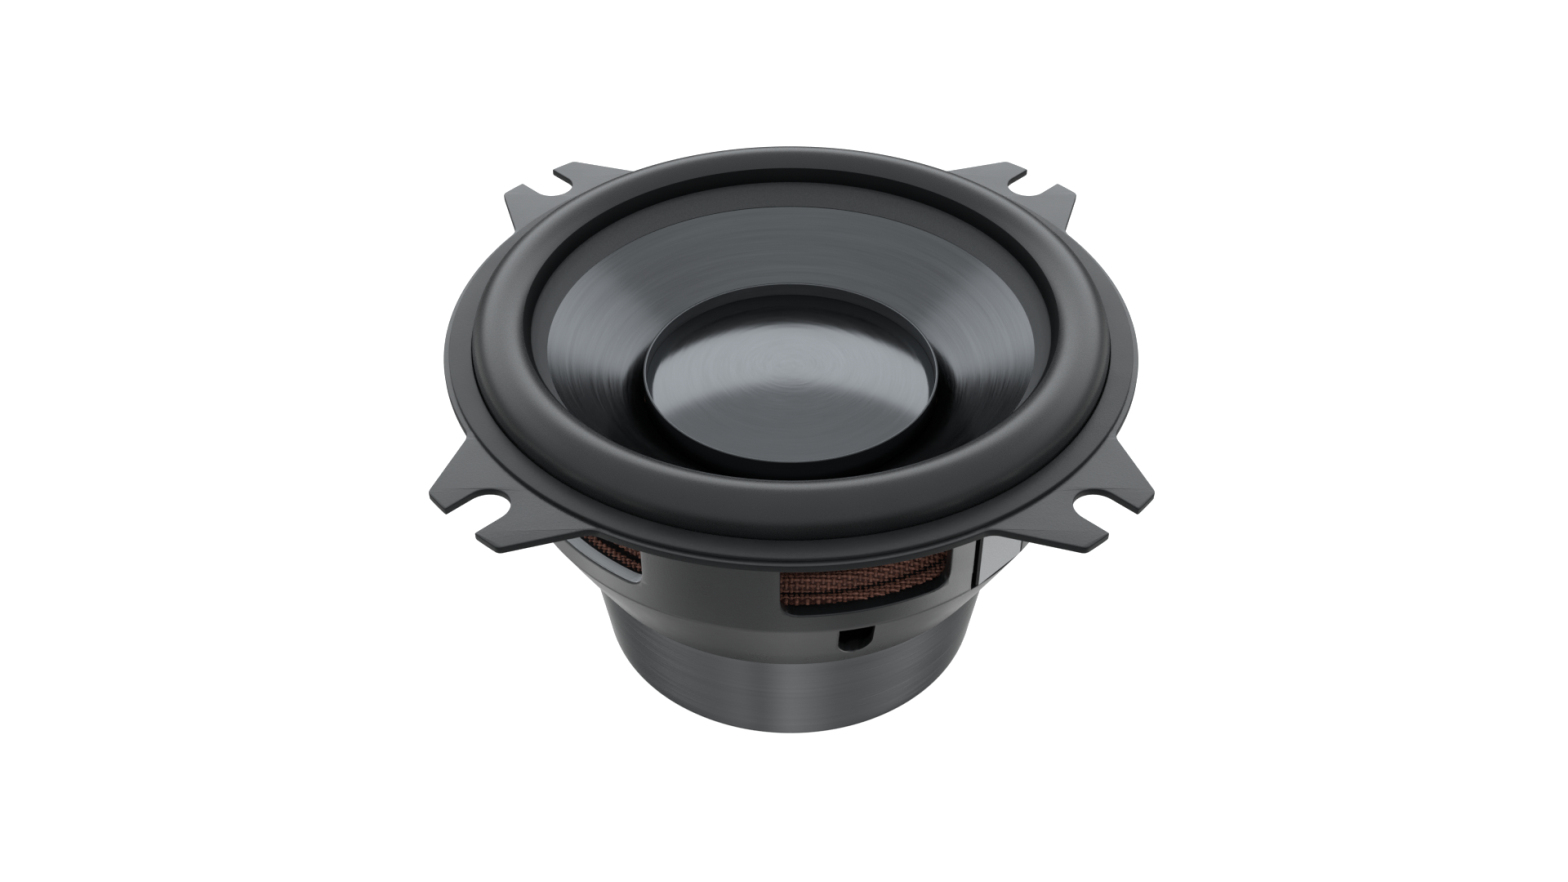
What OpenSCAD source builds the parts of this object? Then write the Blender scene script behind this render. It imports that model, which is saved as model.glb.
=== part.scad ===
// Compact 100 mm class car woofer driver with an internal-magnet cup motor.
// The origin is the centre of the motor cup's flat rear face, and +Z points out of the cone.
// Azimuths turn about +Z, from the -Y direction towards +X. All sizes are in millimetres.

/* [Mounting flange] */
// Diameter of the round flange
flange_d = 105.4; // [105.2:0.1:106]
// Thickness of the flange plate and its four tabs
flange_t = 1.2; // [1.2:0.1:1.4]
// Thickness of the gasket ring that lies on the flange
gasket_t = 0.6; // [0.5:0.1:0.7]
// Diameter of the circle through the round ends of the four screw slots
slot_pcd = 116; // [115.5:0.5:116.5]
// Width of each screw slot
slot_w = 6.5; // [5:0.5:6.5]
// Radius of the tabs' curved ends, from the driver's axis
tab_end_r = 62.5; // [62.3:0.1:62.8]
// Azimuth of the first tab
tab_azimuth = 45; // [45]

/* [Basket] */
// Depth from the motor's rear face to the front of the gasket ring
depth = 59.5; // [59.4:0.1:59.7]
// Outer diameter of the basket's round wall
wall_d = 87.7; // [87.6:0.1:88]
// Thickness of the round wall
wall_t = 2.75; // [2.6:0.05:2.8]
// Height at which the wall turns in towards the motor
crease_z = 36.9; // [36.8:0.1:37]
// Outer diameter of the basket where it meets the motor cup
floor_d = 71.5; // [71.4:0.1:72]
// Thickness of the basket's floor
floor_t = 2.5; // [2:0.1:2.6]
// Number of windows round the wall
window_count = 6; // [6]
// Width of each window across its flat cut
window_w = 24.9; // [22:0.1:25]
// Azimuth of the first window's centre
window_azimuth = 14.5; // [14:0.5:16]

/* [Motor] */
// Height of the motor cup
cup_h = 22.5; // [22.4:0.1:22.6]
// Diameter of the motor cup at its open front
cup_front_d = 70; // [69.6:0.1:70.4]
// Diameter of the motor cup at its rear face
cup_rear_d = 63.8; // [63:0.1:64.4]
// Diameter of the cup's bore, which is the outer pole
cup_bore_d = 49; // [48.8:0.1:49.4]
// Diameter of the magnet
magnet_d = 42; // [38:1:43]
// Thickness of the magnet
magnet_t = 11.5; // [11:0.5:12]
// Diameter of the pole plate on the magnet
plate_d = 44.4; // [44:0.1:44.6]
// Thickness of the pole plate
plate_t = 5; // [4:0.5:5.5]

/* [Diaphragm] */
// Outer diameter of the coil former
former_d = 46.2; // [46.2]
// Wall thickness of the coil former
former_t = 0.4; // [0.3:0.05:0.4]
// Height of the voice coil winding
winding_h = 12; // [10:0.5:12]
// Thickness of the voice coil winding
winding_t = 0.75; // [0.5:0.05:0.8]
// Angle of the cone above the horizontal, in degrees
cone_angle = 35.6; // [35:0.1:36]
// Thickness of the cone
cone_t = 0.6; // [0.4:0.1:0.7]
// Radius of the surround's half roll, over its outside
roll_r = 4.4; // [4.3:0.1:4.5]
// Thickness of the surround
surround_t = 0.45; // [0.4:0.05:0.5]
// Rise of the dust cap's dome
dome_rise = 4.6; // [4:0.1:5.2]

/* [Terminals] */
// Azimuth of the terminal block
block_azimuth = 45; // [45]
// Width of the terminal block's front
block_w = 10.2; // [10:0.1:10.4]
// Width of the positive terminal's blade
positive_w = 4.8; // [4.8]
// Width of the negative terminal's blade
negative_w = 2.8; // [2.8]
// Thickness of both blades
blade_t = 0.8; // [0.5:0.1:0.8]
// Diameter of the braided leads
lead_d = 1.2; // [1:0.1:1.4]

/* [Hidden] */
$fn = 96;

// Glue line between bonded pieces
bond = 0.05;
// Cutting tools run past the faces they open by this much
over = 0.5;
// Bevel on the motor's front edges
bevel = 0.25;

flange_r = flange_d / 2;
wall_r = wall_d / 2;
wall_in_r = wall_r - wall_t;
flange_front_z = depth - gasket_t;
flange_rear_z = flange_front_z - flange_t;
// The surround's outer lip lies in a shallow recess of the flange
lip_t = 0.4;
recess_r = 51.3;
recess_z = flange_front_z - lip_t;

// The tabs narrow towards their curved ends. Each side is a line, given by the direction of its
// outward normal and its distance from the axis.
tab_count = 4;
tab_side_a = 62.3;
tab_side_c = 35.7;
tab_corner_r = 1.2;
tab_root_fillet = 3;
// The fillets reach a little way into the round flange, and the tab's root lies inside its rim
tab_sink = 0.06;
tab_root_r = 52;
tab_steps = 12;
tab_fillet_r = flange_r + tab_root_fillet - tab_sink;
tab_corner_a = tab_side_a - acos((tab_side_c - tab_corner_r) / (tab_end_r - tab_corner_r));
tab_fillet_a = tab_side_a - acos((tab_side_c + tab_root_fillet) / tab_fillet_r);
slot_r = slot_w / 2;
slot_u = slot_pcd / 2;

// Basket interior
ledge_z = 40.2;
ledge_in_r = 38.5;
floor_hole_r = 27;
floor_in_r = 33;
window_sill_z = 40.4;
window_top_z = 55;
window_corner_r = 3;
vent_count = 3;
// Each vent is beside its own radius, and runs in to its round end along that radius
vent_v = 9.4;
vent_end_u = 36.2;
vent_w = 5.1;
vent_top_z = crease_z - 0.15;
// Under the ledge the band is thinner than the ledge is wide
band_in_r = 40.2;
// Locating lip round the cup's rim
cup_lip_h = 1.1;
cup_lip_gap = 0.05;
// The pocket leaves a wide gap beside the block on one side, and a seam on the other
pocket_gap_v = 6.2;
pocket_seam_v = block_w / 2 + 0.25;
pocket_low_z = crease_z - 0.35;
pocket_high_z = flange_rear_z - 0.2;
// Above the ledge the pocket goes through the wall, and below it has a back
pocket_back_u = 41.35;
pocket_through_u = 39.6;

// Motor: the stack of cup floor, magnet and pole plate ends level with the cup's rim
plate_z = cup_h - plate_t;
magnet_z = plate_z - magnet_t;
cup_bore_r = cup_bore_d / 2;
cup_edge_r = 0.9;
screw_count = 4;
screw_azimuth = 30;
screw_circle_r = 30;
screw_hole_r = 1.5;
screw_shank_r = 1.45;
screw_clear_r = 1.7;
screw_head_r = 2.75;
screw_head_h = 1.8;
screw_shank_l = 10;
screw_hole_l = 9;
screw_key_r = 1.5;
screw_key_depth = 1;

// Diaphragm: the cone's visible edge is where it comes out from under the surround's inner lip
cone_edge_r = 37.43;
cone_edge_z = depth - 2.7;
cone_neck_r = former_d / 2 + bond;
// Under the lip the cone's rim turns steeper
rim_angle = 59.4;
rim_bend_r = 38.35;
rim_end_z = depth + 0.25;
roll_mid_r = 43.87;
roll_mid_z = depth + 0.4;
roll_steps = 24;
former_r = former_d / 2;
former_top_z = depth - 8.6;
former_low_z = 13;
winding_z = 14;
dome_r = former_r - former_t - bond;
dome_low_z = depth - 11.2;
dome_t = 0.4;
dome_skirt_h = 3;
dome_ball_r = (dome_r * dome_r + dome_rise * dome_rise) / (2 * dome_rise);

// Spider: three waves between the neck on the former and the rim on the basket's ledge
spider_t = 0.5;
spider_mid_z = ledge_z + bond + spider_t / 2;
spider_wave_in_r = 25;
spider_pitch = 4.5;
spider_waves = 3;
spider_wave_h = 1.15;
spider_steps = 8;
spider_rim_r = 41;
spider_neck_t = 0.7;
spider_neck_h = 1.9;

// Terminal block, its blades and the leads
block_front_u = 43.54;
block_top_z = flange_rear_z - 0.4;
block_low_z = crease_z - 0.1;
block_step_z = 41.4;
block_back_u = 39;
block_back_w = 14;
block_back_top_z = 51.8;
block_step_u = 41.5;
block_mid_u = 40.45;
// Above the back plate the block keeps clear of the cone's rim
block_relief_u = 41;
blade_z = 49.8;
blade_in_u = 37;
blade_out_u = 48.6;
positive_v = 2;
negative_v = -3;
blade_hole_u = 38;
blade_hole_r = 0.7;
solder_h = 0.8;
pad_a = 8;
pad_half_a = 2.5;
pad_t = 0.6;
pad_low_z = 43.4;
pad_high_z = 45.5;
wire_w = 0.8;
wire_t = 0.25;
lead_sides = 8;

// The leads' routes, as distance from the axis towards the block, sideways offset and height
POSITIVE_ROUTE = [
    [38, 2, 48.9], [37.9, 2, 48], [37.4, 2.1, 46.9], [36.2, 2.2, 45.8], [34.4, 2.4, 45], [32.2, 2.7, 44.6],
    [30, 2.9, 44.4], [28, 3.1, 44.4], [26.4, 3.2, 44.4], [25.1, 3.3, 44.5], [23.8, 3.3, 44.5]
];
NEGATIVE_ROUTE = [
    [38, -3, 48.9], [37.9, -3, 48], [37.4, -3, 46.9], [36.2, -3, 45.8], [34.4, -3.1, 45], [32.2, -3.1, 44.6],
    [30, -3.2, 44.4], [28, -3.2, 44.4], [26.4, -3.3, 44.4], [25.1, -3.3, 44.5], [23.8, -3.3, 44.5]
];

function polar(r, a) = [r * cos(a), r * sin(a)];
function arc_points(centre, r, a, b, steps) =
    [for (i = [0 : steps]) centre + polar(r, a + (b - a) * i / steps)];
function cone_z(r) = cone_edge_z + (r - cone_edge_r) * tan(cone_angle);
function rim_z(r) = cone_z(rim_bend_r) + (r - rim_bend_r) * tan(rim_angle);
function rim_r(z) = rim_bend_r + (z - cone_z(rim_bend_r)) / tan(rim_angle);
function roll_arc(r, a, b) = arc_points([roll_mid_r, roll_mid_z], r, a, b, roll_steps);
function wave_z(r) = spider_mid_z + spider_wave_h * sin(360 * (r - spider_wave_in_r) / spider_pitch);

// Children are drawn facing -Y and turned to an azimuth
module at_azimuth(a) {
    rotate([0, 0, a]) children();
}

// Children are drawn with their first axis pointing outwards, and turned to an azimuth
module outward_at(a) {
    rotate([0, 0, a - 90]) children();
}

module rounded_rect(w, h, r) {
    square([w - 2 * r, h], center = true);
    square([w, h - 2 * r], center = true);
    for (x = [-1, 1], y = [-1, 1]) {
        translate([x * (w / 2 - r), y * (h / 2 - r)]) circle(r = r);
    }
}

// ---- Basket ----

module basket_profile() {
    polygon([
        [floor_hole_r, cup_h],
        [cup_front_d / 2 + cup_lip_gap, cup_h],
        [cup_front_d / 2 + cup_lip_gap, cup_h - cup_lip_h],
        [floor_d / 2, cup_h - cup_lip_h],
        [wall_r, crease_z],
        [wall_r, flange_rear_z],
        [flange_r, flange_rear_z],
        [flange_r, flange_front_z],
        [recess_r, flange_front_z],
        [recess_r, recess_z],
        [wall_in_r + 1.2, recess_z],
        [wall_in_r, recess_z - 1.2],
        [wall_in_r, ledge_z],
        [ledge_in_r, ledge_z],
        [ledge_in_r, crease_z + 1.5],
        [band_in_r, crease_z],
        [floor_in_r, cup_h + floor_t],
        [floor_hole_r, cup_h + floor_t]
    ]);
}

// One side of a tab, from the fillet at its root along the straight flank to the rounded corner
function tab_side() =
    let (fillet = polar(tab_fillet_r, tab_fillet_a))
    let (corner = polar(tab_end_r - tab_corner_r, tab_corner_a))
    concat(
        arc_points(fillet, tab_root_fillet, tab_fillet_a + 180, tab_side_a + 180, tab_steps),
        arc_points(corner, tab_corner_r, tab_side_a, tab_corner_a, tab_steps)
    );

module tab() {
    side = tab_side();
    other_side = [for (i = [len(side) - 1 : -1 : 0]) [side[i][0], -side[i][1]]];
    step_a = 2 * tab_corner_a / tab_steps;
    end = [for (i = [1 : tab_steps - 1]) polar(tab_end_r, tab_corner_a - i * step_a)];
    root = arc_points([0, 0], tab_root_r, -tab_fillet_a, tab_fillet_a, 2 * tab_steps);
    translate([0, 0, flange_rear_z]) linear_extrude(flange_t) polygon(concat(side, end, other_side, root));
}

module slot_cutter() {
    height = flange_t + 2 * over;
    translate([slot_u, 0, flange_rear_z - over]) cylinder(h = height, r = slot_r);
    translate([slot_u, -slot_r, flange_rear_z - over]) cube([tab_end_r - slot_u + over, slot_w, height]);
}

module window_cutter() {
    height = window_top_z - window_sill_z;
    translate([0, -ledge_in_r, (window_top_z + window_sill_z) / 2])
        rotate([90, 0, 0])
            linear_extrude(wall_r - ledge_in_r + over) rounded_rect(window_w, height, window_corner_r);
}

// A vent let in from below: straight sides, a round inner end and a flat top just under the crease
module vent_cutter() {
    low_z = cup_h - cup_lip_h - over;
    round_u = vent_end_u + vent_w / 2;
    translate([vent_v, 0, low_z]) {
        linear_extrude(vent_top_z - low_z) {
            translate([0, -round_u]) circle(d = vent_w);
            translate([-vent_w / 2, -wall_r - over]) square([vent_w, wall_r + over - round_u]);
        }
    }
}

module pocket_cutter() {
    outer_u = wall_r + over;
    width = pocket_gap_v + pocket_seam_v;
    translate([-pocket_gap_v, -outer_u, pocket_low_z])
        cube([width, outer_u - pocket_back_u, block_step_z - pocket_low_z]);
    translate([-pocket_gap_v, -outer_u, block_step_z])
        cube([width, outer_u - pocket_through_u, pocket_high_z - block_step_z]);
}

module at_screws() {
    for (i = [0 : screw_count - 1]) {
        at_azimuth(screw_azimuth + i * 360 / screw_count) translate([0, -screw_circle_r, 0]) children();
    }
}

module basket() {
    color("dimgray") {
        difference() {
            union() {
                rotate_extrude() basket_profile();
                for (i = [0 : tab_count - 1]) {
                    outward_at(tab_azimuth + i * 360 / tab_count) tab();
                }
            }
            for (i = [0 : tab_count - 1]) {
                outward_at(tab_azimuth + i * 360 / tab_count) slot_cutter();
            }
            for (i = [0 : window_count - 1]) {
                at_azimuth(window_azimuth + i * 360 / window_count) window_cutter();
            }
            for (i = [0 : vent_count - 1]) {
                at_azimuth(i * 360 / vent_count) vent_cutter();
            }
            at_azimuth(block_azimuth) pocket_cutter();
            at_screws() translate([0, 0, cup_h - over]) cylinder(h = floor_t + 2 * over, r = screw_clear_r);
        }
    }
}

// Flat ring that covers the surround's outer lip, with rounded front edges
module gasket_ring() {
    inner_r = roll_mid_r + roll_r + 0.15;
    outer_r = flange_r - 0.85;
    edge = 0.25;
    color("dimgray") {
        rotate_extrude() {
            polygon([
                [inner_r, flange_front_z + bond],
                [outer_r, flange_front_z + bond],
                [outer_r, depth - edge],
                [outer_r - 0.3 * edge, depth - 0.3 * edge],
                [outer_r - edge, depth],
                [inner_r + edge, depth],
                [inner_r + 0.3 * edge, depth - 0.3 * edge],
                [inner_r, depth - edge]
            ]);
        }
    }
}

// ---- Diaphragm ----

// Half roll between the inner lip, which lies on the cone's rim, and the outer lip in the flange
module surround() {
    gap = 0.08;
    lip_out_r = recess_r - 0.2;
    outer_r = roll_mid_r + roll_r;
    lip_toe = 0.15;
    color("black") {
        rotate_extrude() {
            polygon(concat(
                roll_arc(roll_r, 180, 0),
                [
                    [outer_r, recess_z + lip_t - bond],
                    [lip_out_r, recess_z + lip_t - bond],
                    [lip_out_r, recess_z + bond],
                    [outer_r - surround_t, recess_z + bond]
                ],
                roll_arc(roll_r - surround_t, 0, 180),
                [
                    [rim_r(rim_end_z) - gap, rim_end_z],
                    [rim_bend_r - gap, cone_z(rim_bend_r) + gap],
                    [cone_edge_r, cone_z(cone_edge_r) + gap],
                    [cone_edge_r, cone_z(cone_edge_r) + gap + lip_toe]
                ]
            ));
        }
    }
}

module cone() {
    drop = cone_t / cos(cone_angle);
    rim_drop = cone_t / sin(rim_angle);
    color("darkslategray") {
        rotate_extrude() {
            polygon([
                [cone_neck_r, cone_z(cone_neck_r)],
                [rim_bend_r, cone_z(rim_bend_r)],
                [rim_r(rim_end_z), rim_end_z],
                [rim_r(rim_end_z) + rim_drop, rim_end_z],
                [rim_bend_r + 0.75 * rim_drop, rim_z(rim_bend_r - 0.25 * rim_drop)],
                [cone_neck_r, cone_z(cone_neck_r) - drop]
            ]);
        }
    }
}

// Domed cap with a skirt that is glued inside the former
module dust_cap() {
    ball_z = dome_low_z + dome_rise - dome_ball_r;
    color("gray") {
        rotate_extrude() {
            intersection() {
                difference() {
                    translate([0, ball_z]) circle(r = dome_ball_r, $fn = 240);
                    translate([0, ball_z]) circle(r = dome_ball_r - dome_t, $fn = 240);
                }
                translate([0, dome_low_z - dome_t]) square([dome_r, dome_rise + 2 * dome_t]);
            }
            translate([dome_r - dome_t, dome_low_z - dome_skirt_h]) square([dome_t, dome_skirt_h]);
        }
    }
}

module coil_former() {
    color("dimgray") {
        translate([0, 0, former_low_z]) {
            difference() {
                cylinder(h = former_top_z - former_low_z, r = former_r);
                translate([0, 0, -over]) {
                    cylinder(h = former_top_z - former_low_z + 2 * over, r = former_r - former_t);
                }
            }
        }
    }
}

module voice_coil() {
    color("peru") {
        translate([0, 0, winding_z]) {
            difference() {
                cylinder(h = winding_h, r = former_r + bond + winding_t);
                translate([0, 0, -over]) cylinder(h = winding_h + 2 * over, r = former_r + bond);
            }
        }
    }
}

// A strip of the ring round the former, from one height to another
module former_strip(low_z, high_z, thickness, width) {
    intersection() {
        translate([0, 0, low_z]) {
            difference() {
                cylinder(h = high_z - low_z, r = former_r + bond + thickness);
                translate([0, 0, -over]) cylinder(h = high_z - low_z + 2 * over, r = former_r + bond);
            }
        }
        translate([-width / 2, -former_r - 2 * over, low_z - over]) {
            cube([width, 4 * over, high_z - low_z + 2 * over]);
        }
    }
}

// Flat wires that carry the coil's two ends up the former
module coil_lead_outs() {
    color("peru") {
        for (side = [-1, 1]) {
            at_azimuth(block_azimuth + side * pad_a) {
                former_strip(winding_z + winding_h + bond, pad_low_z - bond, wire_t, wire_w);
            }
        }
    }
}

// Pads on the former where the braided leads are soldered to the coil's ends
module lead_pads() {
    width = 2 * former_r * sin(pad_half_a);
    color("silver") {
        for (side = [-1, 1]) {
            at_azimuth(block_azimuth + side * pad_a) former_strip(pad_low_z, pad_high_z, pad_t, width);
        }
    }
}

// Corrugated cloth disc that centres the coil
module spider() {
    neck_in_r = former_r + bond;
    neck_out_r = neck_in_r + spider_neck_t;
    wave_out_r = spider_wave_in_r + spider_waves * spider_pitch;
    steps = spider_waves * spider_steps;
    waves = [for (i = [0 : steps]) spider_wave_in_r + (wave_out_r - spider_wave_in_r) * i / steps];
    top = [for (r = waves) [r, wave_z(r) + spider_t / 2]];
    low = [for (i = [steps : -1 : 0]) [waves[i], wave_z(waves[i]) - spider_t / 2]];
    color("sienna") {
        difference() {
            rotate_extrude() {
                polygon(concat(
                    [
                        [neck_in_r, spider_mid_z - spider_t / 2],
                        [neck_in_r, spider_mid_z + spider_neck_h],
                        [neck_out_r, spider_mid_z + spider_neck_h],
                        [neck_out_r, spider_mid_z + spider_t / 2]
                    ],
                    top,
                    [
                        [spider_rim_r, spider_mid_z + spider_t / 2],
                        [spider_rim_r, spider_mid_z - spider_t / 2]
                    ],
                    low
                ));
            }
            for (side = [-1, 1]) {
                at_azimuth(block_azimuth + side * pad_a) {
                    translate([-wire_w, -neck_in_r - wire_t - 0.1, spider_mid_z - spider_t]) {
                        cube([2 * wire_w, 2 * over, spider_neck_h + 2 * spider_t]);
                    }
                }
            }
        }
    }
}

// ---- Motor ----

// Steel cup: its rim is the outer pole, its floor carries the magnet
module motor_cup() {
    rear_r = cup_rear_d / 2;
    front_r = cup_front_d / 2;
    color("slategray") {
        difference() {
            rotate_extrude() {
                polygon([
                    [0, 0],
                    [rear_r - cup_edge_r, 0],
                    [rear_r - 0.5 * cup_edge_r, 0.13 * cup_edge_r],
                    [rear_r - 0.13 * cup_edge_r, 0.5 * cup_edge_r],
                    [rear_r, cup_edge_r],
                    [front_r, cup_h - bevel],
                    [front_r - bevel, cup_h],
                    [cup_bore_r + bevel, cup_h],
                    [cup_bore_r, cup_h - bevel],
                    [cup_bore_r, magnet_z],
                    [0, magnet_z]
                ]);
            }
            at_screws() {
                translate([0, 0, cup_h - screw_hole_l]) cylinder(h = screw_hole_l + over, r = screw_hole_r);
            }
        }
    }
}

module magnet() {
    color("lightgray") {
        translate([0, 0, magnet_z + bond]) cylinder(h = magnet_t - 2 * bond, d = magnet_d);
    }
}

module top_plate() {
    color("silver") {
        translate([0, 0, plate_z]) {
            cylinder(h = plate_t - bevel, d = plate_d);
            translate([0, 0, plate_t - bevel]) {
                cylinder(h = bevel, d1 = plate_d, d2 = plate_d - 2 * bevel);
            }
        }
    }
}

// Socket-head screws that hold the cup to the basket's floor from inside
module motor_screws() {
    seat_z = cup_h + floor_t;
    color("black") {
        at_screws() {
            difference() {
                union() {
                    translate([0, 0, seat_z]) cylinder(h = screw_head_h, r = screw_head_r);
                    translate([0, 0, seat_z - screw_shank_l]) cylinder(h = screw_shank_l, r = screw_shank_r);
                }
                translate([0, 0, seat_z + screw_head_h - screw_key_depth]) {
                    cylinder(h = screw_key_depth + over, r = screw_key_r, $fn = 6);
                }
            }
        }
    }
}

// ---- Terminals ----

// Plan of a blade, from its solder tag inside the basket to its chamfered tip
module blade(v, width) {
    tip = 0.6;
    translate([0, 0, blade_z]) {
        linear_extrude(blade_t) {
            difference() {
                polygon([
                    [v - width / 2, -blade_in_u],
                    [v - width / 2, tip - blade_out_u],
                    [v - width / 2 + tip, -blade_out_u],
                    [v + width / 2 - tip, -blade_out_u],
                    [v + width / 2, tip - blade_out_u],
                    [v + width / 2, -blade_in_u]
                ]);
                translate([v, -blade_hole_u]) circle(r = blade_hole_r);
            }
        }
    }
}

module blade_slot(v, width) {
    translate([v - width / 2 - bond, -block_front_u - over, blade_z - bond]) {
        cube([width + 2 * bond, block_front_u - block_back_u + 2 * over, blade_t + 2 * bond]);
    }
}

// Moulded block: a flat front that fills the wall's pocket, and a wider plate behind the wall
module terminal_block() {
    edge = 0.3;
    half = block_w / 2;
    color("dimgray") {
        at_azimuth(block_azimuth) {
            difference() {
                union() {
                    translate([0, 0, block_step_z]) {
                        linear_extrude(block_top_z - block_step_z) {
                            polygon([
                                [-half, -block_mid_u + edge],
                                [-half, edge - block_front_u],
                                [edge - half, -block_front_u],
                                [half - edge, -block_front_u],
                                [half, edge - block_front_u],
                                [half, -block_mid_u + edge]
                            ]);
                        }
                    }
                    translate([0, 0, block_low_z]) {
                        linear_extrude(block_step_z - block_low_z) {
                            polygon([
                                [-half, -block_step_u],
                                [-half, edge - block_front_u],
                                [edge - half, -block_front_u],
                                [half - edge, -block_front_u],
                                [half, edge - block_front_u],
                                [half, -block_step_u]
                            ]);
                        }
                    }
                    translate([-block_back_w / 2, -block_mid_u, block_step_z]) {
                        cube([block_back_w, block_mid_u - block_back_u, block_back_top_z - block_step_z]);
                    }
                }
                blade_slot(positive_v, positive_w);
                blade_slot(negative_v, negative_w);
                translate([-half - over, -block_relief_u, block_back_top_z]) {
                    cube([block_w + 2 * over, block_relief_u - block_back_u, block_top_z]);
                }
            }
        }
    }
}

module positive_terminal() {
    color("gold") at_azimuth(block_azimuth) blade(positive_v, positive_w);
}

module negative_terminal() {
    color("silver") at_azimuth(block_azimuth) blade(negative_v, negative_w);
}

// Solder under each blade's inner tag
module terminal_solder() {
    color("silver") {
        at_azimuth(block_azimuth) {
            for (v = [positive_v, negative_v]) {
                translate([v, -blade_hole_u, blade_z - bond - solder_h]) {
                    cylinder(h = solder_h, r1 = lead_d / 2 + 0.1, r2 = blade_hole_r + 0.4);
                }
            }
        }
    }
}

// Tube of round rings swept along a route. Each ring stands across the mean direction of its
// two neighbours, and leans on the sideways axis, which no route follows.
function unit(p) = p / norm(p);
function route_dir(route, i) =
    unit(route[min(i + 1, len(route) - 1)] - route[max(i - 1, 0)]);
function ring_points(route, i, radius, sides) =
    let (along = route_dir(route, i))
    let (side = unit(cross(along, cross([0, 1, 0], along))))
    let (up = cross(along, side))
    [for (k = [0 : sides - 1]) route[i] + radius * (cos(360 * k / sides) * side + sin(360 * k / sides) * up)];

module tube(route, radius, sides) {
    rings = len(route);
    points = [for (i = [0 : rings - 1]) each ring_points(route, i, radius, sides)];
    walls = [
        for (i = [0 : rings - 2], k = [0 : sides - 1])
            let (next = (k + 1) % sides)
            [i * sides + k, i * sides + next, (i + 1) * sides + next, (i + 1) * sides + k]
    ];
    start_cap = [for (k = [sides - 1 : -1 : 0]) k];
    end_cap = [for (k = [0 : sides - 1]) (rings - 1) * sides + k];
    polyhedron(points, concat([start_cap], walls, [end_cap]));
}

module positive_lead() {
    color("peru") outward_at(block_azimuth) tube(POSITIVE_ROUTE, lead_d / 2, lead_sides);
}

module negative_lead() {
    color("peru") outward_at(block_azimuth) tube(NEGATIVE_ROUTE, lead_d / 2, lead_sides);
}

basket();
gasket_ring();
surround();
cone();
dust_cap();
coil_former();
voice_coil();
coil_lead_outs();
lead_pads();
spider();
motor_cup();
magnet();
top_plate();
motor_screws();
terminal_block();
positive_terminal();
negative_terminal();
terminal_solder();
positive_lead();
negative_lead();
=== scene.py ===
"""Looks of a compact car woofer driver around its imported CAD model. Metres, in the CAD's frame.

Sizes in the helper calls are millimetres, and are turned into metres when a mesh is made. Azimuths
turn about +Z, from -Y towards +X.
"""

import math

import bmesh
import bpy
import numpy as np
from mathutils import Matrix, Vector


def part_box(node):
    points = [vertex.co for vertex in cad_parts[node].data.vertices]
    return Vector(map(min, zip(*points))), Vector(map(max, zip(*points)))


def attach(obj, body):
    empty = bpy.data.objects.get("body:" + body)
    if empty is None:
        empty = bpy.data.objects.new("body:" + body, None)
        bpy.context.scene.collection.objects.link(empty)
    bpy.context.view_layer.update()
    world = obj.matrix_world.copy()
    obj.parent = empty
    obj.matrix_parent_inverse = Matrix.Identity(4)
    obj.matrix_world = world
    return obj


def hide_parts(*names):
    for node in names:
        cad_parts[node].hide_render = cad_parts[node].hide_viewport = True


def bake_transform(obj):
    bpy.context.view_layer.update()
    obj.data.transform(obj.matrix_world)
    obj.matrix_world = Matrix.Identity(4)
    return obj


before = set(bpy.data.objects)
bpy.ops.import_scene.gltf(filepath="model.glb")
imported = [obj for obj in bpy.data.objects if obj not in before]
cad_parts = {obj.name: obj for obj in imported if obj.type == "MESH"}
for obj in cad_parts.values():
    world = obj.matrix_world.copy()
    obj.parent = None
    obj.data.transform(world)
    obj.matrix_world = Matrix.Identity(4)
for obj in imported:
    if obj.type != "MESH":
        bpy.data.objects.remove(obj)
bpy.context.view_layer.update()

MM = 0.001
TAU = 2 * math.pi
FRONT_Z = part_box("gasket_ring")[1].z / MM
CUP_TOP_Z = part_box("motor_cup")[1].z / MM
FORMER_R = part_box("coil_former")[1].x / MM
FORMER_LOW_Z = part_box("coil_former")[0].z / MM
FORMER_TOP_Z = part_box("coil_former")[1].z / MM
GASKET_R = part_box("gasket_ring")[1].x / MM
CUP_FRONT_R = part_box("motor_cup")[1].x / MM

# ---------------------------------------------------------------- meshes


def polar(r, degrees):
    """Point at a radius and an angle."""
    a = math.radians(degrees)
    return (r * math.cos(a), r * math.sin(a))


def arc(centre, r, start, end, steps):
    """Points on an arc, both ends included. Angles in degrees."""
    points = []
    for i in range(steps + 1):
        x, y = polar(r, start + (end - start) * i / steps)
        points.append((centre[0] + x, centre[1] + y))
    return points


def soften(points, radius, steps=4, sharp=()):
    """Rounds every corner of a closed outline, except those numbered in sharp."""
    count = len(points)
    result = []
    for i, point in enumerate(points):
        here = np.array(point, float)
        back = np.array(points[i - 1], float) - here
        ahead = np.array(points[(i + 1) % count], float) - here
        back_length = np.linalg.norm(back)
        ahead_length = np.linalg.norm(ahead)
        back = back / back_length
        ahead = ahead / ahead_length
        turn = math.acos(max(-1.0, min(1.0, float(back @ ahead))))
        if i in sharp or turn > math.radians(165):
            result.append(tuple(here))
            continue
        cut = min(radius / math.tan(turn / 2), 0.45 * back_length, 0.45 * ahead_length)
        for k in range(steps + 1):
            t = k / steps
            curve = (1 - t) ** 2 * back * cut + t**2 * ahead * cut
            result.append(tuple(here + curve))
    return result


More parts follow.
